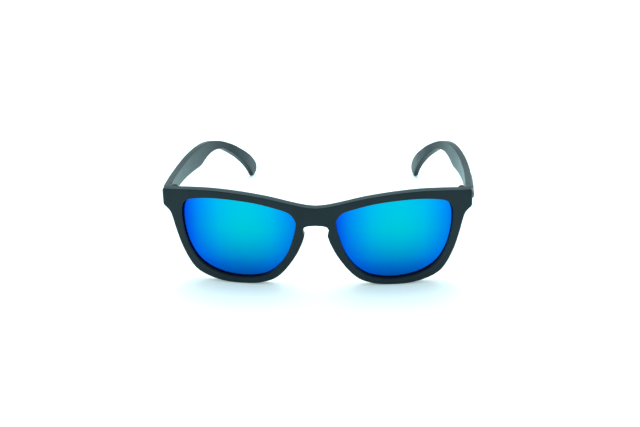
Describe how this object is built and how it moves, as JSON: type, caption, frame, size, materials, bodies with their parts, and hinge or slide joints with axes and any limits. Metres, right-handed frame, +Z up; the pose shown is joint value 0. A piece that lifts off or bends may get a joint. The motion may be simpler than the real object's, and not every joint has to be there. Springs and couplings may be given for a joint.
{
  "type": "sunglasses",
  "caption": "Full-rim sunglasses with a keyhole bridge, mirrored lenses and hooked temples that fold inwards on metal hinges.",
  "frame": {"origin": "middle of the box that holds the opened sunglasses, on the surface that they stand on", "axes": "+X towards the wearer's left, -Y forwards out of the lenses, +Z up"},
  "size_m": [0.147, 0.1374, 0.0474],
  "materials": {
    "frame_plastic": "moulded nylon with a matt black soft-touch coat",
    "mirror_lens": "polycarbonate with a blue-green mirror coating",
    "hinge_steel": "stamped and tumbled stainless steel",
    "badge_metal": "dark satin lacquer on a pressed plate"
  },
  "bodies": {
    "front": {"front_frame": "frame_plastic", "lens_left": "mirror_lens", "lens_right": "mirror_lens", "front_hinge_leaf_left": "hinge_steel", "front_hinge_leaf_right": "hinge_steel", "front_leaf_screws_left": "hinge_steel", "front_leaf_screws_right": "hinge_steel", "hinge_screw_left": "hinge_steel", "hinge_screw_right": "hinge_steel"},
    "left_temple": {"temple_left": "frame_plastic", "temple_hinge_leaf_left": "hinge_steel", "temple_leaf_screws_left": "hinge_steel", "temple_badge_left": "badge_metal"},
    "right_temple": {"temple_right": "frame_plastic", "temple_hinge_leaf_right": "hinge_steel", "temple_leaf_screws_right": "hinge_steel", "temple_badge_right": "badge_metal"}
  },
  "joints": [
    {"name": "left_temple_fold", "type": "hinge", "parent": "front", "child": "left_temple", "pos_m": [0.0673, -0.0544, 0.042], "axis": [0, 0, 1], "range_deg": [0, 80]},
    {"name": "right_temple_fold", "type": "hinge", "parent": "front", "child": "right_temple", "pos_m": [-0.0673, -0.0544, 0.042], "axis": [0, 0, -1], "range_deg": [0, 75]}
  ]
}
